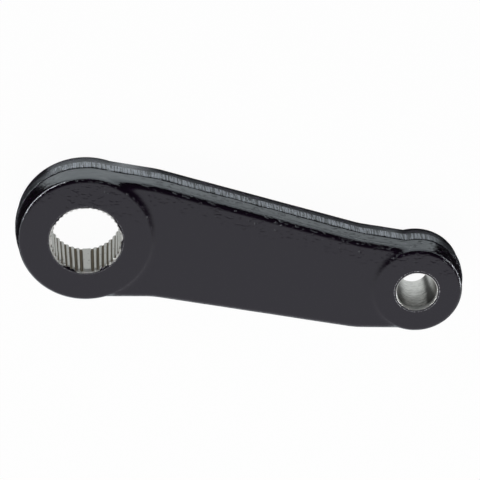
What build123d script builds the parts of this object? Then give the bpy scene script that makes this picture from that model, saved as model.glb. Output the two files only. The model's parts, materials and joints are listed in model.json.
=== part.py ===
from build123d import *
from math import atan, degrees, hypot, radians, tan
import os

# Pitman arm of a steering gear: one drop forging, machined at its two eyes.
# The origin is on the splined bore's axis, in the plane of the two rear boss
# faces, on which the arm lies flat. +X runs to the ball stud's eye, and +Z
# points out of the front faces.

# Driving dimensions, in millimetres and degrees
bore_distance = 152.4        # from the splined bore's axis to the stud bore's axis
eye_height = 23.8            # between the front and rear faces of both eyes

front_step = 1.6             # how far the bosses stand out of the web's front face, on the centre line
front_tilt = 1.15            # fall of the web's front face toward +Y, so that the step is deeper there
rear_step = 0.8              # how far the bosses stand out of the web's rear face
land_front = 13.4            # front edge of the band where the flash was sheared off
land_rear = 8.4              # rear edge of that band
land_proud = 0.45            # how far the sheared band stands out of the walls
front_draft = 5.0            # draft of the walls in the front die
rear_draft = 4.0             # draft of the walls in the rear die

large_eye_radius = 31.4      # at the parting line
small_eye_radius = 21.5      # at the parting line
eye_edge_radius = 2.3        # rounding round the front and rear boss faces
eye_foot_radius = 5.0        # hollow where a boss runs down into the web
web_edge_radius = 3.2        # rounding along the web's edges

# The web's outline at the parting line. It is skewed: the upper edge falls from the
# large eye's side to the small eye's, and the lower edge is nearly parallel to the
# centre line. Each corner is placed from the nearer eye.
upper_shoulder = 27.0        # along X from the splined bore, where the upper edge starts to fall
upper_shoulder_inset = 0.3   # how far inside the large eye's side that is
upper_neck = 29.4            # along X before the stud bore, where the upper edge levels out
upper_neck_inset = 1.6       # how far inside the small eye's side that is
lower_shoulder = 35.0        # along X from the splined bore, where the lower edge levels out
lower_shoulder_inset = 6.3   # how far inside the large eye's side that is
lower_neck = 23.4            # along X before the stud bore, where the lower edge turns in
lower_neck_overhang = 3.5    # how far outside the small eye's side that is
outline_blend = 45.0         # radius of the outline's four bends
eye_overlap = 0.25           # how far the web's ends stay inside the eyes' sides

# Splined bore: grooves at an even pitch, with one groove left out at each of the
# wide master teeth.
spline_positions = 40
master_teeth = 4
master_angle = -77.6         # direction of one master tooth
crest_front_radius = 15.35   # tooth crests at the front face
spline_taper = 1 / 16        # on the diameter, which is larger at the rear
groove_depth = 0.75
groove_mouth = 1.8           # width of a groove at the crests
groove_floor = 0.5           # width of a groove at its floor
mouth_radius = 16.6          # outer rim of the lead-in at the front
rear_chamfer = 0.4           # width of the lead-in at the rear

# Ball stud bore: plain and tapered, for a stud that enters from the front
stud_rear_radius = 7.2
stud_taper = 1 / 6           # on the diameter
stud_chamfer = 0.4

closeness = 0.01             # a number nearer to another than this counts as the same


def plate_half(outline, height, draft_angle, tilt=0.0):
    # One die's half of the web, standing on the parting line: drafted walls, a face
    # that falls toward +Y by the tilt, and its two long edges rounded
    block = extrude(outline, amount=2 * height)
    walls = [f for f in block.faces() if abs(f.normal_at().Z) < closeness]
    top = Plane(origin=(0, 0, height), z_dir=(0, tan(radians(tilt)), 1))
    block = split(draft(walls, Plane.XY, draft_angle), bisect_by=top, keep=Keep.BOTTOM)
    rim = block.faces().sort_by(Axis.Z)[-1].edges()
    return fillet([e for e in rim if abs((e % 0.5).X) > closeness], web_edge_radius)


def web_outline():
    # Closed outline of the web at the parting line, its ends inside the two eyes
    large_side = large_eye_radius - eye_overlap
    small_side = small_eye_radius - eye_overlap
    upper_side = small_eye_radius - upper_neck_inset
    corners = [
        (0, -large_side),
        (lower_shoulder, lower_shoulder_inset - large_eye_radius),
        (bore_distance - lower_neck, -small_eye_radius - lower_neck_overhang),
        (bore_distance, -small_side),
        (bore_distance, upper_side),
        (bore_distance - upper_neck, upper_side),
        (upper_shoulder, large_eye_radius - upper_shoulder_inset),
        (0, large_side),
    ]
    outline = make_face(Polyline(*corners, close=True))
    bends = [v for v in outline.vertices() if closeness < v.X < bore_distance - closeness]
    return fillet(bends, outline_blend)


def web():
    # The plate between the eyes, drafted both ways from the parting line
    outline = web_outline()
    front = plate_half(outline, eye_height - front_step - land_front, front_draft, front_tilt)
    rear = mirror(plate_half(outline, land_rear - rear_step, rear_draft), Plane.XY)
    middle = extrude(outline, amount=land_front - land_rear)
    return Pos(0, 0, land_front) * front + Pos(0, 0, land_rear) * (middle + rear)


def eye(radius):
    # A boss turned about its bore's axis: drafted walls and rounded face edges
    section = make_face(Polyline(
        (0, 0, 0),
        (radius - land_rear * tan(radians(rear_draft)), 0, 0),
        (radius, 0, land_rear),
        (radius, 0, land_front),
        (radius - (eye_height - land_front) * tan(radians(front_draft)), 0, eye_height),
        (0, 0, eye_height),
        close=True,
    ))
    ends = (closeness, eye_height - closeness)
    rims = [v for v in section.vertices() if v.X > closeness and not ends[0] < v.Z < ends[1]]
    return revolve(fillet(rims, eye_edge_radius), Axis.Z)


def sheared_band():
    # The band at the parting line, standing slightly proud all round
    outline = web_outline() + Circle(large_eye_radius) + Pos(bore_distance, 0) * Circle(small_eye_radius)
    return Pos(0, 0, land_rear) * extrude(offset(outline, land_proud), amount=land_front - land_rear)


def lies_on(edge, plane):
    return all(abs(plane.to_local_coords(edge @ share).Z) < closeness for share in (0, 0.5, 1))


def forging():
    body = web() + eye(large_eye_radius) + Pos(bore_distance, 0) * eye(small_eye_radius)
    web_front = Plane(origin=(0, 0, eye_height - front_step), z_dir=(0, tan(radians(front_tilt)), 1))
    web_rear = Plane(origin=(0, 0, rear_step))
    feet = []
    for edge in body.edges():
        middle = edge @ 0.5
        from_large_eye = hypot(middle.X, middle.Y) - large_eye_radius
        from_small_eye = hypot(middle.X - bore_distance, middle.Y) - small_eye_radius
        at_boss = min(from_large_eye, from_small_eye) < 0
        if at_boss and (lies_on(edge, web_front) or lies_on(edge, web_rear)):
            feet.append(edge)
    return fillet(feet, eye_foot_radius) + sheared_band()


def tapered_cutter(front_radius, slope):
    # A conical bore's cutter: its radius grows by this slope from the front face to the rear
    rear_radius = front_radius + eye_height * slope
    section = Polyline(
        (0, 0, 0), (rear_radius, 0, 0), (front_radius, 0, eye_height), (0, 0, eye_height), close=True
    )
    return revolve(make_face(section), Axis.Z)


def chamfer_cutter(radius, width):
    # Cutter of a 45 degree lead-in that is this wide, pointing down from the front face
    section = Polyline((0, 0, 0), (radius + width, 0, 0), (radius, 0, -width), (0, 0, -width), close=True)
    return Pos(0, 0, eye_height) * revolve(make_face(section), Axis.Z)


def groove_cutter():
    # One groove's cutter on the +X side, lying along the slope of the tooth crests
    half_mouth = groove_mouth / 2
    half_floor = groove_floor / 2
    section = make_face(Polyline(
        (-groove_depth, 2 * half_mouth - half_floor),
        (-groove_depth, half_floor - 2 * half_mouth),
        (groove_depth, -half_floor),
        (groove_depth, half_floor),
        close=True,
    ))
    length = 2 * eye_height
    blade = Pos(0, 0, -length / 2) * extrude(section, amount=length)
    tilt = degrees(atan(spline_taper / 2))
    return Pos(crest_front_radius, 0, eye_height) * Rot(0, -tilt, 0) * blade


def splined_bore():
    # Cone of the tooth crests with a lead-in at each end, and a groove at each
    # position but those of the master teeth
    slope = spline_taper / 2
    rear_radius = crest_front_radius + eye_height * slope
    front_lead_in = chamfer_cutter(crest_front_radius, mouth_radius - crest_front_radius)
    rear_lead_in = mirror(chamfer_cutter(rear_radius, rear_chamfer), Plane.XY.offset(eye_height / 2))
    bore = tapered_cutter(crest_front_radius, slope) + front_lead_in + rear_lead_in
    groove = groove_cutter()
    pitch = 360 / spline_positions
    places = [i for i in range(spline_positions) if i % (spline_positions // master_teeth)]
    return [bore] + [Rot(0, 0, master_angle + i * pitch) * groove for i in places]


def stud_bore():
    front_radius = stud_rear_radius + eye_height * stud_taper / 2
    bore = tapered_cutter(front_radius, -stud_taper / 2) + chamfer_cutter(front_radius, stud_chamfer)
    return Pos(bore_distance, 0) * bore


arm = forging() - stud_bore() - splined_bore()
os.makedirs("parts", exist_ok=True)
export_step(arm, "parts/pitman_arm.step")
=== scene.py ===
import bmesh
import bpy
import json
import numpy as np
from math import cos, pi, radians, sin, tan
from mathutils import Matrix, Vector


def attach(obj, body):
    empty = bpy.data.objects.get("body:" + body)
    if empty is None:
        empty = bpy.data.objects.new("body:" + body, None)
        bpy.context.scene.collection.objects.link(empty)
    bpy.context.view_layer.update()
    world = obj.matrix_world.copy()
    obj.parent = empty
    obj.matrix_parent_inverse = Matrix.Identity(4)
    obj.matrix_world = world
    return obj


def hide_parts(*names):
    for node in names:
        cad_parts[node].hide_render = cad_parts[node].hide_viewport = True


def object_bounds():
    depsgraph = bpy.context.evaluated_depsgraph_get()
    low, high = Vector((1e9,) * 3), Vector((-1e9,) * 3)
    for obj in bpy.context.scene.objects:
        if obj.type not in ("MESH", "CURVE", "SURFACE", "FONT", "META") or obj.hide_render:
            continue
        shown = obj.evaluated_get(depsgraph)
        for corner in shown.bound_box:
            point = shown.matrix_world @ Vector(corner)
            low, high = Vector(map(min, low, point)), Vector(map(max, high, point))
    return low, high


# Pitman arm: one black painted drop forging with two bare steel bores.
# Lengths in the dictionaries are millimetres and angles degrees. Blender's are metres.
# Limits are a smooth step's two ends: it is 0 at the first and 1 at the second.

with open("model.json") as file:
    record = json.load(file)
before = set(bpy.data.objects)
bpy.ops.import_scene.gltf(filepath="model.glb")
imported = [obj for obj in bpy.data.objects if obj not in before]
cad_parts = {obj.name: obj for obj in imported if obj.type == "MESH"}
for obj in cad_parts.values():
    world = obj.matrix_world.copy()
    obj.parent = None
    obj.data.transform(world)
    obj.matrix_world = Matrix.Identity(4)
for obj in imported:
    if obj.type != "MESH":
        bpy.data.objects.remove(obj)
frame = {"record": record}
cadLow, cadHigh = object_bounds()
mount = {entry["name"]: entry for entry in frame["record"]["mounts"]}
metre = 0.001

arm = {
    "boreDistance": mount["stud_bore"]["pos_m"][0] / metre,
    "height": (cadHigh.z - cadLow.z) / metre,
    "landFront": 13.4,       # front edge of the sheared band
    "landRear": 8.4,
    "landProud": 0.45,       # how far the band stands out of the walls
    "largeEye": 31.4,        # radius at the parting line
    "smallEye": 21.5,
    "eyeEdge": 2.3,          # rounding round the boss faces
    "eyeFoot": 5.0,          # hollow at the foot of a boss
    "outlineBend": 45.0,     # radius of the web's bends
    "eyeOverlap": 0.25,      # how far the web's ends stay inside the large eye
    # The corners of the web's long edges: along X from the nearer bore, and inside
    # that eye's side
    "upperEdge": {"shoulder": 27.0, "shoulderInset": 0.3, "neck": 29.4, "neckInset": 1.6, "endInset": 1.6},
    "lowerEdge": {"shoulder": 35.0, "shoulderInset": 6.3, "neck": 23.4, "neckInset": -3.5, "endInset": 0.25},
    # Each die's half: how far the bosses stand out of the web, the fall of the web's
    # face toward +Y, the walls' draft, the web's rounding, and which way the half points
    "front": {"step": 1.6, "tilt": 1.15, "draft": 5.0, "webEdge": 3.2, "side": 1},
    "rear": {"step": 0.8, "tilt": 0.0, "draft": 4.0, "webEdge": 2.2, "side": -1},
}
arm["front"]["eyeRise"] = arm["height"] - arm["landFront"]
arm["rear"]["eyeRise"] = arm["landRear"]
arm["eyes"] = [(0.0, arm["largeEye"]), (arm["boreDistance"], arm["smallEye"])]     # axis along X, and radius

spline = {
    "positions": 40,
    "masters": 4,
    "masterAngle": -77.6,
    "crestRadius": 15.35,    # at the front face
    "taper": 1 / 16,         # on the diameter, larger at the rear
    "depth": 0.75,
    "mouth": 1.8,
    "floor": 0.5,
    "rimRadius": 16.6,
    "rearChamfer": 0.4,
    # Points across one position, as shares of the pitch, and rows down the lead-in
    # and the bore
    "across": [-0.5, -0.42, -0.33, -0.24, -0.12, 0, 0.12, 0.24, 0.33, 0.42],
    "rows": (11, 9),
    "rearRows": [1.3, 1.0, 0.5, 0],      # over the rear rim, in chamfer widths
    "rearGap": 0.6,                      # between these and the bore's last row
    # Centre and half width of each run of paint over the lead-in
    "paintRuns": [(-107.5, 11), (-49.5, 9), (150, 12), (96, 20), (38, 14), (2, 8)],
}
stud = {
    "rearRadius": 7.2,
    "taper": 1 / 6,
    "chamfer": 0.4,
    "around": 128,           # points round the bore
    "rows": (4, 14),         # down the chamfer and the bore
    # Centre, half width and strength of each stretch of painted shade down the bore
    "shades": [(-158, 34, 0.95), (-27, 14, 0.85), (100, 50, 0.6)],
}

skin = {
    "alongStep": 0.70,       # mesh spacing round the outline
    "samples": (6001, 3001),     # points worked out along each edge of the web and each eye
    "tangentReach": 3,       # points to each side that give the outline's direction
    "stripWidth": 4.2,       # plan width of the strip that holds the rounded edges
    "stripRows": (12, 16),   # up the wall and over the rounding
    "bandRows": 6,           # from edge to edge of the sheared band
    "seamPoints": 64,        # across the middle of the web
    # Rings of points round each bore: on the boss, over its edge and foot, and from
    # there over the web
    "rings": [
        {"boss": [17.6, 19, 21, 23, 25, 27], "foot": (28.2, 32.8), "web": 33.4},
        {"boss": [10.3, 12, 14, 16, 17.4], "foot": (18.3, 22.8), "web": 23.4},
    ],
    "footStep": 0.38,
    "webStep": 1.25,
    "webEnd": 90,
    "weld": 0.0002,          # points closer than this are one
    "sharpAngle": 38,        # edges that turn more than this are shaded sharp
    # The sheared band's unevenness: a middle value, and each noise's cell, size and seed
    "ledgeWander": 0.4,
    "frontLedge": (0.5, [(9.0, 0.6, 7), (2.6, 0.4, 8)]),
    "rearLedge": (0.4, [(7.0, 0.6, 9), (2.2, 0.4, 10)]),
    "proud": (0.8, [(5.0, 0.2, 11)]),
    # Rows over the band's rounded edges: depth into the band, and share of its standing out
    "ledgeRows": [(0, 0.35), (0.08, 0.8), (0.3, 1.0)],
    "hollows": [(0.06, 11.0, 11), (0.035, 3.6, 12), (0.012, 1.8, 13)],   # depth, cell and seed
    "faceShare": 0.25,       # how much of that the boss and web faces have
    "faceLimits": (0.9, 1.0),    # of the normal's Z, from wall to face
    "machined": (spline["rimRadius"], 10.2),     # radii round the bores inside which nothing is uneven
    "machinedFade": 3,           # and how far outside them it takes to be fully so
}


def smoothStep(low, high, value):
    # 0 below low, 1 above high, and the cubic 3t^2 - 2t^3 between them
    t = np.clip((value - low) / (high - low), 0, 1)
    return t * t * (3 - 2 * t)


def latticeNoise(points, cell, seed):
    # Smooth noise from -1 to 1: random values on a cubic lattice with this cell,
    # mixed along each axis by smooth step weights
    size = 64
    table = np.random.default_rng(seed).uniform(-1, 1, (size, size, size))
    place = points / cell
    base = np.floor(place).astype(int)
    part = smoothStep(0, 1, place - base)
    total = np.zeros(len(points))
    for corner in np.ndindex(2, 2, 2):
        index = (base + corner) % size
        weight = np.prod(np.where(np.array(corner) == 1, part, 1 - part), axis=1)
        total += weight * table[index[:, 0], index[:, 1], index[:, 2]]
    return total


def waver(points, middle, parts):
    # A middle value plus lattice noises, each with its own cell, size and seed
    return middle + sum(size * latticeNoise(points, cell, seed) for cell, size, seed in parts)


def edgeWidth(x, edge):
    # The web's half width and its slope along x: straight runs through four
    # corners, and at the two inner corners an arc with the bend's radius
    bend = arm["outlineBend"]
    cornerX = [0, edge["shoulder"], arm["boreDistance"] - edge["neck"], arm["boreDistance"]]
    cornerY = [
        arm["largeEye"] - arm["eyeOverlap"],
        arm["largeEye"] - edge["shoulderInset"],
        arm["smallEye"] - edge["neckInset"],
        arm["smallEye"] - edge["endInset"],
    ]
    slopes = np.diff(cornerY) / np.diff(cornerX)
    width = np.interp(x, cornerX, cornerY)
    slope = slopes[np.clip(np.searchsorted(cornerX, x) - 1, 0, 2)]
    for i in (1, 2):
        before, after = np.arctan(slopes[i - 1]), np.arctan(slopes[i])
        turn = np.sign(after - before)
        reach = bend * tan(abs(after - before) / 2)
        startX = cornerX[i] - reach * cos(before)
        startY = cornerY[i] - reach * sin(before)
        centreX = startX - turn * bend * sin(before)
        centreY = startY + turn * bend * cos(before)
        inBend = (x > startX) & (x < cornerX[i] + reach * cos(after))
        drop = np.sqrt(np.maximum(bend**2 - (x - centreX) ** 2, 1e-9))
        width = np.where(inBend, centreY - turn * drop, width)
        slope = np.where(inBend, turn * (x - centreX) / drop, slope)
    return width, slope


def webInset(x, y):
    # Distance inside the web's outline, from its nearer long edge
    upper, upperSlope = edgeWidth(x, arm["upperEdge"])
    lower, lowerSlope = edgeWidth(x, arm["lowerEdge"])
    fromUpper = (upper - y) / np.hypot(1, upperSlope)
    fromLower = (lower + y) / np.hypot(1, lowerSlope)
    inset = np.where(y > 0, fromUpper, fromLower)
    return np.minimum(inset, np.minimum(x, arm["boreDistance"] - x))


def outlineInset(x, y):
    # Distance inside the whole outline, negative outside it
    inset = webInset(x, y)
    for centre, radius in arm["eyes"]:
        inset = np.maximum(inset, radius - np.hypot(x - centre, y))
    return inset


def flatStart(rise, draft, radius):
    # How far inside the outline a drafted wall's rounding has turned flat
    return rise * tan(radians(draft)) + radius * tan(radians(90 - draft) / 2)


def wallProfile(inset, rise, draft, radius):
    # Height over the parting plane: a drafted wall, an arc of this radius, then flat
    arcEnd = flatStart(rise, draft, radius)
    wallEnd = arcEnd - radius * cos(radians(draft))
    short = np.clip(arcEnd - inset, 0, radius)
    arc = rise - radius + np.sqrt(radius**2 - short**2)
    return np.where(inset < wallEnd, inset / tan(radians(draft)), arc)


def dieHeight(x, y, half):
    # Height of the forged skin over the parting plane in one die: the highest of
    # the two bosses and the web, which rises to each boss in a hollow arc. The web's
    # face falls toward +Y by the half's tilt
    step = half["step"] + y * tan(radians(half["tilt"]))
    webRise = half["eyeRise"] - step
    top, foot = arm["eyeEdge"], arm["eyeFoot"]
    bosses, lift = [], 0
    for centre, radius in arm["eyes"]:
        r = np.hypot(x - centre, y)
        boss = wallProfile(radius - r, half["eyeRise"], half["draft"], top)
        topCentre = radius - flatStart(half["eyeRise"], half["draft"], top)
        run = np.sqrt((top + foot) ** 2 - (top + foot - step) ** 2)
        footCentre = topCentre + run
        meet = topCentre + run * top / (top + foot)
        hollow = foot - np.sqrt(foot**2 - np.clip(footCentre - r, 0, foot) ** 2)
        lift = np.maximum(lift, np.where(r < meet, boss - webRise, hollow))
        bosses.append(boss)
    web = wallProfile(webInset(x, y), webRise, half["draft"], half["webEdge"]) + lift
    return np.maximum(web, np.maximum(*bosses))


def skinHeight(x, y, half):
    # The same as a height over the floor
    level = arm["landFront"] if half["side"] > 0 else arm["landRear"]
    return level + half["side"] * np.maximum(dieHeight(x, y, half), 0)


def outlinePath():
    # The outline at the parting plane, anticlockwise from its lower left corner:
    # lower edge, small eye, upper edge and large eye, at an even spacing
    webSamples, eyeSamples = skin["samples"]
    x = np.linspace(0, arm["boreDistance"], webSamples)
    lower, upper = edgeWidth(x, arm["lowerEdge"])[0], edgeWidth(x, arm["upperEdge"])[0]
    runs = []
    for width, side in ((lower, -1), (upper, 1)):
        outside = np.all([np.hypot(x - centre, width) > radius for centre, radius in arm["eyes"]], axis=0)
        runs.append(np.stack([x[outside], side * width[outside]], 1))
    lowerRun, upperRun = runs[0], runs[1][::-1]
    arcs = []
    for (centre, radius), start, end in (
        (arm["eyes"][1], lowerRun[-1], upperRun[0]),
        (arm["eyes"][0], upperRun[-1], lowerRun[0]),
    ):
        first = np.arctan2(start[1], start[0] - centre)
        last = np.arctan2(end[1], end[0] - centre)
        angle = np.linspace(first, last + (2 * pi if last < first else 0), eyeSamples)[1:-1]
        arcs.append(np.stack([centre + radius * np.cos(angle), radius * np.sin(angle)], 1))
    whole = np.concatenate([lowerRun, arcs[0], upperRun, arcs[1], lowerRun[:1]])
    length = np.concatenate([[0], np.cumsum(np.hypot(*np.diff(whole, axis=0).T))])
    count = int(length[-1] / skin["alongStep"])
    along = np.arange(count) * length[-1] / count
    path = np.stack([np.interp(along, length, whole[:, 0]), np.interp(along, length, whole[:, 1])], 1)
    reach = skin["tangentReach"]
    tangent = np.roll(path, -reach, axis=0) - np.roll(path, reach, axis=0)
    tangent /= np.linalg.norm(tangent, axis=1)[:, None]
    return path, np.stack([tangent[:, 1], -tangent[:, 0]], 1)


def gridFaces(rows, columns, start):
    # Quads between neighbours of a grid whose rows are closed rings
    row, column = np.meshgrid(np.arange(rows - 1), np.arange(columns), indexing="ij")
    here = row * columns + column
    beside = row * columns + (column + 1) % columns
    return start + np.stack([here, beside, beside + columns, here + columns], -1).reshape(-1, 4)


def zipFaces(inner, outer, innerAngle, outerAngle):
    # Triangles between two rings round one centre that have different counts. Each
    # ring's edges join the other ring's last vertex before their end's angle
    i = np.argsort(innerAngle)
    o = np.argsort(outerAngle)
    inner, innerAngle = inner[i], innerAngle[i]
    outer, outerAngle = outer[o], outerAngle[o]
    innerApex = outer[np.searchsorted(outerAngle, np.roll(innerAngle, -1), "left") - 1]
    outerApex = inner[np.searchsorted(innerAngle, np.roll(outerAngle, -1), "right") - 1]
    return np.concatenate([
        np.stack([inner, np.roll(inner, -1), innerApex], 1),
        np.stack([outer, np.roll(outer, -1), outerApex], 1),
    ])


class Shell:
    # Collects grids of points and their faces into one mesh
    def __init__(self):
        self.points, self.faces, self.count = [], [], 0

    def addGrid(self, grid):
        # grid is rows by columns by 3, and each row is a closed ring
        rows, columns = grid.shape[:2]
        numbers = self.count + np.arange(rows * columns).reshape(rows, columns)
        self.points.append(grid.reshape(-1, 3))
        self.faces += gridFaces(rows, columns, self.count).tolist()
        self.count += rows * columns
        return numbers

    def addZip(self, first, second, grids, centre):
        # Joins two rings, given by their points' numbers and places, round a centre on X
        rings = [grid.reshape(-1, 2) - (centre, 0) for grid in grids]
        angles = [np.arctan2(ring[:, 1], ring[:, 0]) for ring in rings]
        self.faces += zipFaces(first, second, *angles).tolist()

    def build(self, name):
        mesh = bpy.data.meshes.new(name)
        mesh.from_pydata((np.concatenate(self.points) * metre).tolist(), [], self.faces)
        work = bmesh.new()
        work.from_mesh(mesh)
        bmesh.ops.remove_doubles(work, verts=work.verts, dist=skin["weld"] * metre)
        bmesh.ops.recalc_face_normals(work, faces=work.faces)
        work.to_mesh(mesh)
        work.free()
        return mesh


def stripGrid(path, outward):
    # The side of the forging carried along the outline. Each column is one section:
    # rear rounding and wall, sheared band with its two ledges, front wall and rounding
    flat = np.column_stack([path, np.zeros(len(path))])
    frontWander = skin["ledgeWander"] * np.clip(waver(flat, *skin["frontLedge"]), 0, 1)
    rearWander = skin["ledgeWander"] * np.clip(waver(flat, *skin["rearLedge"]), 0, 1)
    frontLedge, rearLedge = arm["landFront"] + frontWander, arm["landRear"] - rearWander
    proud = arm["landProud"] * waver(flat, *skin["proud"])
    wallRows, roundRows = skin["stripRows"]
    turn = 1 - np.cos(np.linspace(0, pi / 2, roundRows))[1:]
    sections = []
    for half, ledge in ((arm["rear"], rearLedge), (arm["front"], frontLedge)):
        wallPart = half["eyeRise"] * tan(radians(half["draft"]))
        rounding = wallPart + (skin["stripWidth"] - wallPart) * turn
        rows = []
        for inset in np.concatenate([np.linspace(0, wallPart, wallRows), rounding]):
            place = path - outward * inset
            z = skinHeight(place[:, 0], place[:, 1], half)
            z = np.maximum(z, ledge) if half["side"] > 0 else np.minimum(z, ledge)
            rows.append(np.column_stack([place, z]))
        sections.append(rows)
    shares = np.linspace(0, 1, skin["bandRows"])[1:-1]
    band = [(rearLedge + depth, proud * share) for depth, share in skin["ledgeRows"]]
    band += [(rearLedge + (frontLedge - rearLedge) * share, proud) for share in shares]
    band += [(frontLedge - depth, proud * share) for depth, share in skin["ledgeRows"][::-1]]
    bandRows = [np.column_stack([path + outward * offset[:, None], z]) for z, offset in band]
    return np.array(sections[0][::-1] + bandRows + sections[1])


def ringRadii(rings):
    # Radii of the rings round one bore
    foot = np.arange(*rings["foot"], skin["footStep"])
    return np.concatenate([rings["boss"], foot, np.arange(rings["web"], skin["webEnd"], skin["webStep"])])


def faceGrid(boundary, centre, radii, half):
    # A boss's face and its half of the web's: rays from the bore's axis to each
    # boundary point, with a point at each ring's radius that the ray reaches
    reach = boundary - (centre, 0)
    length = np.hypot(*reach.T)
    along = np.minimum(radii[:, None], length[None])
    place = (centre, 0) + along[..., None] * (reach / length[:, None])[None]
    z = skinHeight(place[..., 0], place[..., 1], half)
    return np.concatenate([place, z[..., None]], -1)


def splineGrid():
    # Radius of the splined bore over angle and height: the wider of the lead-in
    # cones and the tooth crests' cone with a rounded groove at each position
    pitch = 2 * pi / spline["positions"]
    position = np.repeat(np.arange(spline["positions"]), len(spline["across"]))
    offset = np.tile(spline["across"], spline["positions"]) * pitch
    angle = radians(spline["masterAngle"]) + position * pitch + offset
    cut = position % (spline["positions"] // spline["masters"]) != 0
    fromCentre = np.abs(offset) * spline["crestRadius"]
    flank = 1 - smoothStep(spline["floor"] / 2, spline["mouth"] / 2, fromCentre)
    groove = np.where(cut, spline["depth"] * flank, 0)
    top = arm["height"]
    leadIn = spline["rimRadius"] - spline["crestRadius"]
    boreEnd = top - spline["rearChamfer"] - spline["rearGap"]
    leadRows, boreRows = spline["rows"]
    drop = np.concatenate([
        np.linspace(0, leadIn, leadRows),
        np.linspace(leadIn, boreEnd, boreRows)[1:],
        top - spline["rearChamfer"] * np.array(spline["rearRows"]),
    ])[:, None]
    crest = spline["crestRadius"] + drop * spline["taper"] / 2
    rearRim = spline["crestRadius"] + top * spline["taper"] / 2 + spline["rearChamfer"]
    radius = np.maximum(crest + groove[None], spline["rimRadius"] - drop)
    radius = np.maximum(radius, rearRim - (top - drop))
    radius = np.where(drop == 0, spline["rimRadius"], radius)
    z = np.broadcast_to(top - drop, radius.shape)
    return np.stack([radius * np.cos(angle), radius * np.sin(angle), z], -1)


def studGrid():
    # The plain tapered bore, a cone with a small chamfer at its front
    angle = np.linspace(0, 2 * pi, stud["around"] + 1)[:-1]
    top = arm["height"]
    chamferRows, boreRows = stud["rows"]
    drop = np.concatenate([
        np.linspace(0, stud["chamfer"], chamferRows),
        np.linspace(stud["chamfer"], top, boreRows)[1:],
    ])[:, None]
    cone = stud["rearRadius"] + (top - drop) * stud["taper"] / 2
    frontRadius = stud["rearRadius"] + top * stud["taper"] / 2
    radius = np.maximum(cone, frontRadius + stud["chamfer"] - drop)
    z = np.broadcast_to(top - drop, (len(drop), len(angle)))
    x = arm["boreDistance"] + radius * np.cos(angle)
    return np.stack([x, radius * np.sin(angle), z], -1)


def makeForging():
    # One closed surface: the side strip, four half faces and two bores. Each half face
    # lies between the strip's ring on its side with a cut across the web's middle, and
    # its bore's ring, to which it is joined
    path, outward = outlinePath()
    shell = Shell()
    strip = stripGrid(path, outward)
    shell.addGrid(strip)
    middle = arm["boreDistance"] / 2
    bores = [splineGrid(), studGrid()]
    boreNumbers = [shell.addGrid(bore) for bore in bores]
    for half, row, loop in (("front", 0, strip[-1][:, :2]), ("rear", -1, strip[0][:, :2])):
        onLower = np.flatnonzero(loop[:, 1] < 0)
        onUpper = np.flatnonzero(loop[:, 1] > 0)
        lowerCut = onLower[np.argmin(np.abs(loop[onLower, 0] - middle))]
        upperCut = onUpper[np.argmin(np.abs(loop[onUpper, 0] - middle))]
        across = np.linspace(loop[upperCut], loop[lowerCut], skin["seamPoints"])
        smallSide = np.concatenate([loop[lowerCut:upperCut], across[:-1]])
        largeSide = np.concatenate([loop[upperCut:], loop[:lowerCut], across[::-1][:-1]])
        for boundary, eye, rings, bore, numbers in zip(
            (largeSide, smallSide), arm["eyes"], skin["rings"], bores, boreNumbers
        ):
            centre = eye[0]
            grid = faceGrid(boundary, centre, ringRadii(rings), arm[half])
            faceNumbers = shell.addGrid(grid)
            shell.addZip(numbers[row], faceNumbers[0], [bore[row][:, :2], grid[0][:, :2]], centre)
    return shell.build("forgedArm")


def meshArray(collection, name, width):
    # One attribute of all the mesh's points or faces as a rows by width array
    values = np.empty(len(collection) * width)
    collection.foreach_get(name, values)
    return values.reshape(-1, width)


def relieve(mesh, normals):
    # Sinks each point of the forged skin along its normal by the sum of three noises,
    # deepest on the walls, shallow on the faces and nothing in the bores
    points = meshArray(mesh.vertices, "co", 3) / metre
    fromBores = np.minimum(*(
        np.hypot(points[:, 0] - eye[0], points[:, 1]) - radius
        for eye, radius in zip(arm["eyes"], skin["machined"])
    ))
    steep = 1 - smoothStep(*skin["faceLimits"], np.abs(normals[:, 2]))
    depth = sum(size * (1 + latticeNoise(points, cell, seed)) / 2 for size, cell, seed in skin["hollows"])
    depth *= smoothStep(0, skin["machinedFade"], fromBores)
    depth *= skin["faceShare"] + (1 - skin["faceShare"]) * steep
    mesh.vertices.foreach_set("co", ((points - normals * depth[:, None]) * metre).ravel())


class Wire:
    # A node's output that ordinary arithmetic works on, by adding Math nodes
    def __init__(self, finish, socket):
        self.finish, self.socket = finish, socket

    def maths(self, operation, *values):
        return self.finish.node("ShaderNodeMath", {"operation": operation}, dict(enumerate(values)))

    def __add__(self, other):
        return self.maths("ADD", self, other)

    def __sub__(self, other):
        return self.maths("SUBTRACT", self, other)

    def __rsub__(self, other):
        return self.maths("SUBTRACT", other, self)

    def __mul__(self, other):
        return self.maths("MULTIPLY", self, other)

    def __pow__(self, other):
        return self.maths("POWER", self, other)

    __radd__ = __add__
    __rmul__ = __mul__


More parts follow.
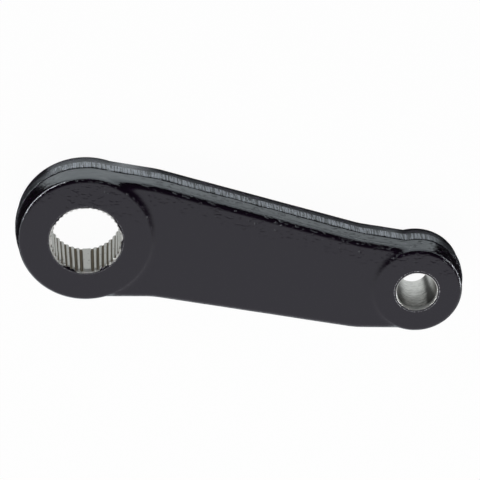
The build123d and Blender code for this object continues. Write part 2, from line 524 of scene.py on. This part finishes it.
class Finish:
    # A node tree for one finish. node() adds any node: its settings are set first,
    # then its sockets are given values or links
    def __init__(self, owner):
        owner.use_nodes = True
        self.tree = owner.node_tree
        self.tree.nodes.clear()

    def node(self, kind, settings=None, sockets=None, output=0):
        made = self.tree.nodes.new(kind)
        for name, value in (settings or {}).items():
            setattr(made, name, value)
        for name, value in (sockets or {}).items():
            if isinstance(value, Wire):
                self.tree.links.new(value.socket, made.inputs[name])
            else:
                made.inputs[name].default_value = value
        return Wire(self, made.outputs[output]) if made.outputs else None

    def place(self):
        return self.node("ShaderNodeTexCoord", output="Object")

    def split(self, vector):
        axes = self.node("ShaderNodeSeparateXYZ", sockets={"Vector": vector})
        return [Wire(self, socket) for socket in axes.socket.node.outputs]

    def attribute(self, name):
        return self.node("ShaderNodeAttribute", {"attribute_name": name}, output="Fac")

    def smooth(self, value, low, high):
        sockets = {"Value": value, "From Min": low, "From Max": high}
        return self.node("ShaderNodeMapRange", {"interpolation_type": "SMOOTHSTEP"}, sockets)

    def pattern(self, vector, kind):
        # A noise with the cell, stretch, detail and roughness that a finish's
        # dictionary gives, from 0 to 1 between its limits where it has them
        if "stretch" in kind:
            vector = self.node("ShaderNodeMapping", sockets={"Vector": vector, "Scale": kind["stretch"]})
        noise = self.node("ShaderNodeTexNoise", sockets={
            "Vector": vector,
            "Scale": 1 / (kind["cell"] * metre),
            "Detail": kind.get("detail", 2.0),
            "Roughness": kind.get("roughness", 0.5),
        })
        return self.smooth(noise, *kind["limits"]) if "limits" in kind else noise

    def mixColour(self, share, first, second):
        sockets = {0: share, 6: first, 7: second}
        return self.node("ShaderNodeMix", {"data_type": "RGBA"}, sockets, output=2)

    def bump(self, height, depth, strength=1.0, normal=None):
        sockets = {"Height": height, "Distance": depth * metre, "Strength": strength}
        if normal:
            sockets["Normal"] = normal
        return self.node("ShaderNodeBump", sockets=sockets)

    def surface(self, sockets):
        return self.node("ShaderNodeBsdfPrincipled", sockets=sockets)

    def mixShader(self, share, first, second):
        return self.node("ShaderNodeMixShader", sockets={0: share, 1: first, 2: second})

    def output(self, shader, kind="ShaderNodeOutputMaterial"):
        self.node(kind, sockets={"Surface": shader})


paint = {
    "colour": (0.0082, 0.0030, 0.0107, 1),
    "bandLight": (0.60, 0.64, 0.72, 1),      # light shear marks on the band, partly rubbed and partly a painted sheen
    "bandDark": (0.02, 0.021, 0.026, 1),     # the paint between them
    "speck": (0.55, 0.55, 0.57, 1),
    "tint": (0.90, 0.95, 1.0, 1),
    "index": 1.80,
    "roughness": 0.14,
    "bandRoughness": 0.42,
    "rearRoughness": 0.36,
    "rearLimits": (-0.9, 0.1),   # from the band's rear edge, where the rear die's rougher skin ends
    "peelDepth": 0.006,          # depth of each bump
    "rippleDepth": 0.17,
    "grainDepth": 0.09,
    "rearDepth": 0.45,
    "lipDepth": 0.20,
    "pitDepth": 0.20,
    "strokeDepth": 0.10,
    # Each pattern's cell, and its stretch, detail, roughness and limits where it has them
    "peel": {"cell": 1.3, "detail": 1.0},
    "ripple": {"cell": 2.6, "stretch": (0.6, 1, 1), "detail": 3.0, "roughness": 0.6},
    "grain": {"cell": 0.9, "stretch": (0.7, 1, 1), "roughness": 0.6},
    "rear": {"cell": 1.1, "stretch": (0.8, 1, 1), "detail": 3.0, "roughness": 0.65},
    "strokes": {"cell": 0.8, "stretch": (1, 1, 0.07), "detail": 3.0, "roughness": 0.65},
    "strokeLimits": (0.36, 0.6),
    "tears": {"cell": 3.4, "stretch": (1, 1, 0.2), "limits": (0.62, 0.68)},
    "dents": {"cell": 0.9, "stretch": (0.5, 1, 1), "limits": (0.35, 0.5)},
    "pits": {"cell": 1.3, "stretch": (0.5, 1, 1), "detail": 1.0, "limits": (0.59, 0.69)},
    "specks": {"cell": 0.45, "detail": 1.0, "limits": (0.50, 0.60)},
    # Axis along X in bore distances, radius, half width and share of each ring of specks
    "speckRings": [(0.0, 16.95, 0.30, 0.35), (1.0, 10.35, 0.22, 1.0)],
    "speckDepth": 0.2,           # how far below the boss faces they end
}


def speckRing(finish, x, y, z, ring):
    # How far a point lies on one ring of light specks round a bore, on the front face
    axis, radius, halfWidth, share = ring
    across = x - axis * arm["boreDistance"] * metre
    away = (across * across + y * y) ** 0.5 - radius * metre
    near = finish.smooth(away * away, (halfWidth * metre) ** 2, 0)
    top = arm["height"]
    return near * finish.smooth(z, (top - paint["speckDepth"]) * metre, top * metre) * share


def paintSurface(finish):
    # Gloss black over the forged skin: orange peel everywhere, ripples and grain on the walls, a rougher skin
    # in the rear die, upright strokes and tears on the sheared band, light where rubbed and where a painted
    # sheen lies, a dented lip where the front wall turns over, pits by the upper edges and light specks round
    # the bores
    place = finish.place()
    x, y, z = finish.split(place)
    band, face, lip = (finish.attribute(name) for name in ("band", "face", "lip"))
    behind = 1 - finish.smooth(z, *((arm["landRear"] + limit) * metre for limit in paint["rearLimits"]))
    onWalls = (1 - face) * (1 - band)
    strokes = finish.pattern(place, paint["strokes"])
    tears = finish.pattern(place, paint["tears"])
    dents = finish.pattern(place, paint["dents"])
    pits = finish.pattern(place, paint["pits"]) * finish.attribute("pitted")
    normal = None
    for height, depth, strength in (
        (finish.pattern(place, paint["peel"]), paint["peelDepth"], 1.0),
        (finish.pattern(place, paint["ripple"]), paint["rippleDepth"], onWalls),
        (finish.pattern(place, paint["grain"]), paint["grainDepth"], onWalls),
        (finish.pattern(place, paint["rear"]), paint["rearDepth"], behind * (1 - face)),
        (1 - lip * dents, paint["lipDepth"], 1.0),
        (1 - pits, paint["pitDepth"], 1.0),
        (strokes - tears, paint["strokeDepth"], band),
    ):
        normal = finish.bump(height, depth, strength, normal)
    # The band's light marks: partly rubbed, partly a painted sheen on its +Y side that fades before both ends
    light = finish.smooth(strokes, *paint["strokeLimits"]) * (1 - tears) * finish.attribute("rubbedAndSheen")
    bandColour = finish.mixColour(light, paint["bandDark"], paint["bandLight"])
    colour = finish.mixColour(band, paint["colour"], bandColour)
    ringed = sum(speckRing(finish, x, y, z, ring) for ring in paint["speckRings"])
    specked = finish.pattern(place, paint["specks"]) * ringed
    return finish.surface({
        "Base Color": finish.mixColour(specked, colour, paint["speck"]),
        "Roughness": (
            paint["roughness"]
            + band * (paint["bandRoughness"] - paint["roughness"])
            + behind * (paint["rearRoughness"] - paint["roughness"])
        ),
        "IOR": paint["index"],
        "Specular Tint": paint["tint"],
        "Normal": normal,
    })


def paintFinish(finish):
    # The forging's outside
    finish.output(paintSurface(finish))


splineSteel = {
    "colour": (0.48, 0.46, 0.43, 1),
    "brown": (0.13, 0.10, 0.065, 1),
    "dark": (0.08, 0.076, 0.07, 1),
    "leadIn": (0.78, 0.78, 0.76, 1),
    "leadInMatt": 0.75,          # how much less metallic the lead-in is
    "roughness": 0.30,
    "grooveDarkRoughness": 0.2,       # what the groove darkening and the lead-in add to it
    "leadInRoughness": 0.15,
    "streaks": {"cell": 0.8, "stretch": (1, 1, 0.12), "detail": 3.0, "roughness": 0.6},
    "streakDepth": 0.02,
    "grooveDarkWaver": 0.6,           # how far the streaks move the groove darkening's edge
    "grooveDarkLimits": (0.25, 0.9),
    "blots": {"cell": 1.3, "limits": (0.62, 0.7)},
    "blotShare": 0.6,
    "filmLimits": (0.4, 0.6),
}


def splineFinish(finish):
    # Broached steel, darker and brown down in the grooves. The lead-in is scored round by its cutter, and
    # paint has run over parts of it
    place = finish.place()
    deep, leadIn = finish.attribute("deep"), finish.attribute("leadIn")
    film = finish.smooth(finish.attribute("film"), *splineSteel["filmLimits"])
    streaks = finish.pattern(place, splineSteel["streaks"])
    # Darker and brown toward the groove floors, with a waved edge
    edge = deep + (streaks - 0.5) * splineSteel["grooveDarkWaver"]
    grooveDark = finish.smooth(edge, *splineSteel["grooveDarkLimits"])
    spotted = finish.pattern(place, splineSteel["blots"]) * splineSteel["blotShare"]
    colour = finish.mixColour(grooveDark, splineSteel["colour"], splineSteel["brown"])
    colour = finish.mixColour(spotted, colour, splineSteel["dark"])
    metal = finish.surface({
        "Base Color": finish.mixColour(leadIn, colour, splineSteel["leadIn"]),
        "Metallic": 1 - leadIn * splineSteel["leadInMatt"],
        "Roughness": (
            splineSteel["roughness"]
            + grooveDark * splineSteel["grooveDarkRoughness"]
            + leadIn * splineSteel["leadInRoughness"]
        ),
        "Normal": finish.bump(streaks, splineSteel["streakDepth"]),
    })
    finish.output(finish.mixShader(film, metal, paintSurface(finish)))


studSteel = {
    "colour": (0.80, 0.775, 0.74, 1),
    # painted shade down the bore
    "shade": (0.045, 0.040, 0.036, 1),
    "rim": (0.86, 0.86, 0.84, 1),
    "rimMatt": 0.7,              # how much less metallic the chamfer is
    "roughness": 0.30,
    "marksRoughness": 0.2,       # what the coarse marks add to it
    "rings": {"cell": 0.32, "stretch": (0.06, 0.06, 1), "detail": 3.0, "roughness": 0.7},
    "ringDepth": 0.03,
    "marks": {"cell": 0.7, "stretch": (0.3, 0.3, 1), "detail": 3.0, "roughness": 0.7},
    "ringWaver": 0.9,            # how far rings and marks break up the painted shade
    "markWaver": 0.8,
    "shadeLimits": (-0.15, 1.05),
}


def studFinish(finish):
    # Reamed steel with fine turning marks round the bore, with painted shade toward the front and down three
    # stretches, and a bright chamfer
    place = finish.place()
    rings = finish.pattern(place, studSteel["rings"])
    marks = finish.pattern(place, studSteel["marks"])
    rim = finish.attribute("leadIn")
    broken = (rings - 0.5) * studSteel["ringWaver"] + (marks - 0.5) * studSteel["markWaver"]
    # Painted shade, broken up by the rings and marks
    paintedShade = finish.smooth(finish.attribute("shaded") + broken, *studSteel["shadeLimits"])
    colour = finish.mixColour(paintedShade, studSteel["colour"], studSteel["shade"])
    finish.output(finish.surface({
        "Base Color": finish.mixColour(rim, colour, studSteel["rim"]),
        "Metallic": 1 - rim * studSteel["rimMatt"],
        "Roughness": studSteel["roughness"] + marks * studSteel["marksRoughness"],
        "Normal": finish.bump(rings, studSteel["ringDepth"]),
    }))


# Where the finishes lie. Pairs of numbers are limits, but for the wall radii
marked = {
    "band": (0.02, -0.12),           # inside the outline
    # Where the band's marks are light: partly rubbed, partly a painted sheen
    "rubbedAndSheenLeft": (-25, -13),        # along X from the splined bore
    "rubbedAndSheenRight": (7, -2),          # along X from the stud bore
    "rubbedAndSheenAcross": (-12, 12),       # along Y
    "rubbedAndSheenLeast": 0.12,
    "lipWidth": 0.4,
    "lipStart": 25,                  # along X
    "face": (0.9, 0.99),             # of the normal's Z
    "pitsOnHead": (9, 20),           # along Y
    "pitsRadius": 30,
    "pitsOnWeb": (13, 5),            # below the upper edge
    "pitsStart": 20,                 # along X
    "splineEnd": 17,                 # radius
    "film": (0.2, -0.2),             # below the end of a run of paint
    "runWaver": (0.75, [(1.5, 0.25, 31)]),   # middle value, and each noise's cell, size and seed
    "runRagged": (0, [(0.9, 0.03, 32)]),
    "coneSlack": 0.1,                # how far off the lead-in's cone a point may lie
    "coneSoft": 0.05,
    "rimSoft": 0.1,
    "frontShade": 0.62,              # painted shade of the stud bore at its mouth
    "wallUpright": 0.95,             # normal's Z below which a face by a bore is its wall
    "wallRadii": (16.9, 9.9),        # of the splined and the stud bore's surroundings
}


def forgedMarks(x, y, z, upright):
    # Attributes of the forged skin: the sheared band and where its marks are light, partly rubbed and partly
    # a painted sheen on the +Y side away from the ends, the lip where the front wall turns over, the flat
    # faces, and the pitted parts
    fromStudEnd = x - arm["boreDistance"]
    # Rubbing and painted sheen: light on the band's +Y side, fading before both ends
    rubbedAndSheen = smoothStep(*marked["rubbedAndSheenLeft"], x) * smoothStep(*marked["rubbedAndSheenRight"], fromStudEnd)
    rubbedAndSheen *= smoothStep(*marked["rubbedAndSheenAcross"], y)
    front = arm["front"]
    webFront = arm["height"] - front["step"] - y * tan(radians(front["tilt"]))
    lipLevel = webFront - front["webEdge"] * (1 - sin(radians(front["draft"])))
    lip = np.exp(-(((z - lipLevel) / marked["lipWidth"]) ** 2))
    onWeb = (webInset(x, y) > 0) & (x > marked["lipStart"]) & (upright < marked["face"][0])
    upper = edgeWidth(x, arm["upperEdge"])[0]
    pitted = smoothStep(*marked["pitsOnHead"], y) * (np.hypot(x, y) < marked["pitsRadius"])
    pitted += smoothStep(*marked["pitsOnWeb"], upper - y) * (x > marked["pitsStart"])
    return {
        "band": smoothStep(*marked["band"], outlineInset(x, y)),
        "rubbedAndSheen": marked["rubbedAndSheenLeast"] + (1 - marked["rubbedAndSheenLeast"]) * rubbedAndSheen,
        "lip": lip * onWeb,
        "face": smoothStep(*marked["face"], upright),
        "pitted": np.clip(pitted, 0, 1) * (z > arm["landFront"]),
    }


def boreMarks(points):
    # Attributes of the two bores: the film of paint over the lead-in, which ends where the nearest run does,
    # the depth in a groove, the bright lead-ins, and the stud bore's painted shade: bell curves round it over
    # a painted shade toward the front
    x, y, z = points.T
    fromSpline = np.hypot(x, y)
    angle = np.degrees(np.arctan2(y, x))
    studAngle = np.degrees(np.arctan2(y, x - arm["boreDistance"]))
    depth = arm["height"] - z
    crest = spline["crestRadius"] + depth * spline["taper"] / 2
    runs = sum(np.exp(-(((angle - centre) / width) ** 4)) for centre, width in spline["paintRuns"])
    runEnd = runs * waver(points, *marked["runWaver"]) + waver(points, *marked["runRagged"])
    soft, leadEnd = marked["coneSoft"], spline["rimRadius"] - spline["crestRadius"]
    offCone = fromSpline - (spline["rimRadius"] - depth) - marked["coneSlack"]
    onCone = smoothStep(soft, -soft, offCone) * smoothStep(leadEnd + soft, leadEnd - soft, depth)
    onChamfer = smoothStep(stud["chamfer"] + marked["rimSoft"], stud["chamfer"], depth)
    # Painted shade: darker toward the bore's mouth and down three stretches
    shaded = marked["frontShade"] * smoothStep(arm["height"], 0, depth)
    for centre, width, strength in stud["shades"]:
        shaded += strength * np.exp(-(((studAngle - centre) / width) ** 2))
    atSpline = fromSpline < marked["splineEnd"]
    return {
        "film": smoothStep(*marked["film"], depth - runEnd) * atSpline,
        "deep": np.clip((fromSpline - crest) / spline["depth"], 0, 1),
        "leadIn": np.where(atSpline, onCone, onChamfer),
        "shaded": shaded,
    }


def dressForging(mesh, normals):
    # Attributes say where the finishes lie, and face slots where the bores are
    points = meshArray(mesh.vertices, "co", 3) / metre
    values = forgedMarks(*points.T, np.abs(normals[:, 2]))
    values.update(boreMarks(points))
    for name, value in values.items():
        layer = mesh.attributes.new(name, "FLOAT", "POINT")
        layer.data.foreach_set("value", value.astype(np.float32))
    centres = meshArray(mesh.polygons, "center", 3) / metre
    steep = np.abs(meshArray(mesh.polygons, "normal", 3)[:, 2]) < marked["wallUpright"]
    splineEnd, studEnd = marked["wallRadii"]
    inSpline = steep & (np.hypot(centres[:, 0], centres[:, 1]) < splineEnd)
    inStud = steep & (np.hypot(centres[:, 0] - arm["boreDistance"], centres[:, 1]) < studEnd)
    mesh.polygons.foreach_set("material_index", (inSpline * 1 + inStud * 2).astype(np.int32))
    for name, make in (("glossPaint", paintFinish), ("splineSteel", splineFinish), ("studSteel", studFinish)):
        material = bpy.data.materials.new(name)
        make(Finish(material))
        mesh.materials.append(material)


mesh = makeForging()
print("forging:", len(mesh.vertices), "points,", sum(len(p.vertices) - 2 for p in mesh.polygons), "triangles")
normals = meshArray(mesh.vertex_normals, "vector", 3)
relieve(mesh, normals)
mesh.polygons.foreach_set("use_smooth", np.ones(len(mesh.polygons), bool))
mesh.set_sharp_from_angle(angle=radians(skin["sharpAngle"]))
dressForging(mesh, normals)
forging = bpy.data.objects.new("forgedArm", mesh)
bpy.context.scene.collection.objects.link(forging)
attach(forging, "root")
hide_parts("pitman_arm")
print("finish:", ", ".join(material.name for material in mesh.materials))


# The studio's lengths are metres
studio = {
    "floorColour": (0.86, 0.86, 0.86, 1),
    "floorSize": 8.0,
    "floorGap": 0.00002,         # so that floor and boss faces don't share one plane
    "floorWhite": 0.97,          # share of plain white in the floor for the camera
    "glowLevel": 1.0,            # the floor's level in reflections
    "glowRise": 0.25,            # painted light: how much brighter it is at the large eye
    "glowLimits": (0.075, 0.01),     # where along X it rises
    "boreLevel": 0.78,           # the same under the bores, lower as painted shade
    "glowColour": (0.92, 0.985, 1.0, 1),
    "blackLevel": 0.01,
    "darkPatches": [(-0.0335, -1), (0.1645, 1)],   # start along X and side of each black patch painted on the floor for reflections
    "patchReach": 0.07,
    "patchLimits": (-0.001, 0.002),   # past its start
    "patchFade": 0.01,
    "darkLimits": (0.005, 0.004),    # of the square of Y, for all the painted dark on the floor
    "boxPlace": (0.22, -0.80, 1.25),
    "boxSize": 1.5,
    "boxLevel": 2.1,
    "roomDark": 0.02,
    "roomLevel": 0.56,
    "roomTilt": 0.25,            # how much of Z counts toward the bright side, against Y
    "roomLimits": (-0.15, 0.5),
    # Direction in plan, cosine of the half width, height and level of the bright strips
    # low down in the room
    "strips": [
        (-0.93, 0.37, 0.86, 0.12, 22.0),
        (0.966, 0.259, 0.89, 0.10, 20.0),
        (0.0, 1.0, 0.3, 0.035, 1.5),
    ],
    "stripSoft": 0.03,
    "stripFade": 0.6,            # share of its height at which a strip is at full level
}

# The shadow that the arm lays on the floor close round itself, painted into the floor's reflections, in
# millimetres
shade = {
    "webReach": 3.6,             # how far out it lies beside the web and the small eye
    "headReach": 1.2,            # the same beside the large eye
    "soft": 0.4,
    "webStart": (12, 30),        # limits along X
    "webEnd": (1, 0),            # limits past the stud bore's axis
    "endStart": -24.5,           # where along X it reaches further out at the large end
    "endSoft": 1.5,
    "endReach": 6.0,             # by this much
    "boreSoft": 0.6,
    "bores": (spline["rimRadius"], stud["rearRadius"]),
}


def lightPaths(finish):
    # Whether a ray comes from the camera, from a reflection, or through something
    names = ("Is Camera Ray", "Is Glossy Ray", "Is Transmission Ray")
    return [finish.node("ShaderNodeLightPath", output=name) for name in names]


def darkPatchBeside(finish, x, start, side):
    # Share of the black patch, painted on the floor for reflections, that starts here and reaches out to this
    # side
    first, full = studio["patchLimits"]
    end = start + side * studio["patchReach"]
    patch = finish.smooth(x, start + side * first, start + side * full)
    return patch * finish.smooth(x, end, end - side * studio["patchFade"])


def shadeBeside(finish, x, y):
    # The arm's shadow painted on the floor for reflections, and the part under its open bores, where there is
    # none. It lies within a reach of each eye's circle and of the web's upper edge, taken as a straight line
    corner, end = arm["upperEdge"]["shoulder"], arm["boreDistance"] - arm["upperEdge"]["neck"]
    cornerY = arm["largeEye"] - arm["upperEdge"]["shoulderInset"]
    fall = (cornerY - arm["smallEye"] + arm["upperEdge"]["neckInset"]) / (end - corner)
    soft = shade["soft"]
    line = y + x * fall - (cornerY + corner * fall + shade["webReach"]) * metre
    onWeb = finish.smooth(line, soft * metre, -soft * metre)
    onWeb *= finish.smooth(x, *(limit * metre for limit in shade["webStart"]))
    onWeb *= finish.smooth(x, *((arm["boreDistance"] + limit) * metre for limit in shade["webEnd"]))
    endFirst, endFull = shade["endStart"] + shade["endSoft"], shade["endStart"] - shade["endSoft"]
    atEnd = finish.smooth(x, endFirst * metre, endFull * metre) * shade["endReach"] * metre
    lit, underBores = 1 - onWeb, 0
    reaches = (shade["headReach"], shade["webReach"])
    for (axis, radius), reach, bore in zip(arm["eyes"], reaches, shade["bores"]):
        across = x - axis * metre
        away = (across * across + y * y) ** 0.5 - atEnd
        lit *= 1 - finish.smooth(away, (radius + reach + soft) * metre, (radius + reach - soft) * metre)
        underBores += finish.smooth(away, (bore + shade["boreSoft"]) * metre, bore * metre)
    return (1 - lit) * (1 - underBores), underBores


def makeFloor():
    # A pale floor, white to the camera but for the arm's soft shadow. Reflections show it with a level of its
    # own, painted brighter toward the large eye and painted darker under the bores, with a black patch
    # painted beside each end of the arm and the arm's shadow painted round it
    half, level = studio["floorSize"] / 2, -studio["floorGap"]
    corners = [(-half, -half, level), (half, -half, level), (half, half, level), (-half, half, level)]
    plane = bpy.data.meshes.new("floor")
    plane.from_pydata(corners, [], [(0, 1, 2, 3)])
    floor = bpy.data.objects.new("floor", plane)
    bpy.context.scene.collection.objects.link(floor)
    material = bpy.data.materials.new("paleFloor")
    finish = Finish(material)
    x, y = finish.split(finish.place())[:2]
    # Black patches painted on the floor beside both ends, seen in reflections
    left, right = (darkPatchBeside(finish, x, start, side) for start, side in studio["darkPatches"])
    # The arm's shadow, painted on the floor for reflections
    beside, underBores = shadeBeside(finish, x, y)
    camera, glossy, through = lightPaths(finish)
    matt = finish.node("ShaderNodeBsdfDiffuse", sockets={"Color": studio["floorColour"]})
    plain, glowColour = (1, 1, 1, 1), studio["glowColour"]
    white, web, head, bore, black = (
        finish.node("ShaderNodeEmission", sockets={"Color": colour, "Strength": strength})
        for colour, strength in (
            (plain, 1.0),
            (glowColour, studio["glowLevel"]),
            (glowColour, studio["glowLevel"] * (1 + studio["glowRise"])),
            (glowColour, studio["boreLevel"]),
            (plain, studio["blackLevel"]),
        )
    )
    # Painted light toward the large eye and painted shade under the bores, in reflections
    glow = finish.mixShader(finish.smooth(x, *studio["glowLimits"]), web, head)
    glow = finish.mixShader(underBores, glow, bore)
    pale = finish.mixShader((camera + through) * studio["floorWhite"], matt, white)
    pale = finish.mixShader(glossy, pale, glow)
    # Painted dark in reflections: the black patches and the arm's painted shadow
    near = finish.smooth(y * y, *studio["darkLimits"])
    dark = (1 - (1 - left - right) * (1 - beside)) * near * glossy
    finish.output(finish.mixShader(dark, pale, black))
    plane.materials.append(material)


def makeWorld():
    # White to the camera. Otherwise a room that is bright overhead and at the back and
    # dark at the camera's side, and in reflections also bright strips low down
    world = bpy.data.worlds.new("studio")
    bpy.context.scene.world = world
    finish = Finish(world)
    x, y, z = finish.split(finish.node("ShaderNodeTexCoord", output="Generated"))
    bright = finish.smooth(z * studio["roomTilt"] - y, *studio["roomLimits"])
    room = studio["roomDark"] + bright * studio["roomLevel"]
    soft, strips = studio["stripSoft"], 0
    for stripX, stripY, halfWidth, height, level in studio["strips"]:
        towards = finish.smooth(x * stripX + y * stripY, halfWidth - soft, halfWidth + soft)
        strips += towards * finish.smooth(z, height, height * studio["stripFade"]) * level
    camera, glossy, through = lightPaths(finish)
    white = camera + through
    shader = finish.node("ShaderNodeBackground", sockets={
        "Strength": white + (1 - white) * (room + glossy * strips),
    })
    finish.output(shader, "ShaderNodeOutputWorld")


def makeSoftbox():
    # One large square lamp over the back, aimed at the arm's middle. The room already
    # shows a bright ceiling there, so reflections leave the lamp out
    data = bpy.data.lights.new("softbox", "AREA")
    data.size = studio["boxSize"]
    data.energy = studio["boxLevel"] * pi * studio["boxSize"] ** 2
    lamp = bpy.data.objects.new("softbox", data)
    place = Vector(studio["boxPlace"])
    target = Vector((arm["boreDistance"] / 2 * metre, 0, 0))
    lamp.rotation_mode = "QUATERNION"
    lamp.rotation_quaternion = (target - place).to_track_quat("-Z", "Y")
    lamp.location = place
    lamp.visible_glossy = False
    bpy.context.scene.collection.objects.link(lamp)


view = {
    "right": (0.9791, 0.1967, 0.0509),
    "up": (-0.1522, 0.8761, -0.4575),
    "place": (-0.17383, 0.80318, 1.6191),
    "lens": 300.0,
    "sensor": 36.0,
    "clip": (0.05, 50),
}


def studioCamera():
    # The photo's viewpoint: where the camera stands, and its axes made square
    data = bpy.data.cameras.new("camera")
    data.lens, data.sensor_width = view["lens"], view["sensor"]
    data.clip_start, data.clip_end = view["clip"]
    camera = bpy.data.objects.new("camera", data)
    right = Vector(view["right"]).normalized()
    up = Vector(view["up"])
    up = (up - right * up.dot(right)).normalized()
    axes = Matrix((right, up, right.cross(up))).transposed()
    camera.matrix_world = Matrix.Translation(view["place"]) @ axes.to_4x4()
    bpy.context.scene.collection.objects.link(camera)
    bpy.context.scene.camera = camera


makeFloor()
makeWorld()
makeSoftbox()
studioCamera()
bpy.context.scene.view_settings.view_transform = "Standard"
print("studio: floor, world, softbox and camera")
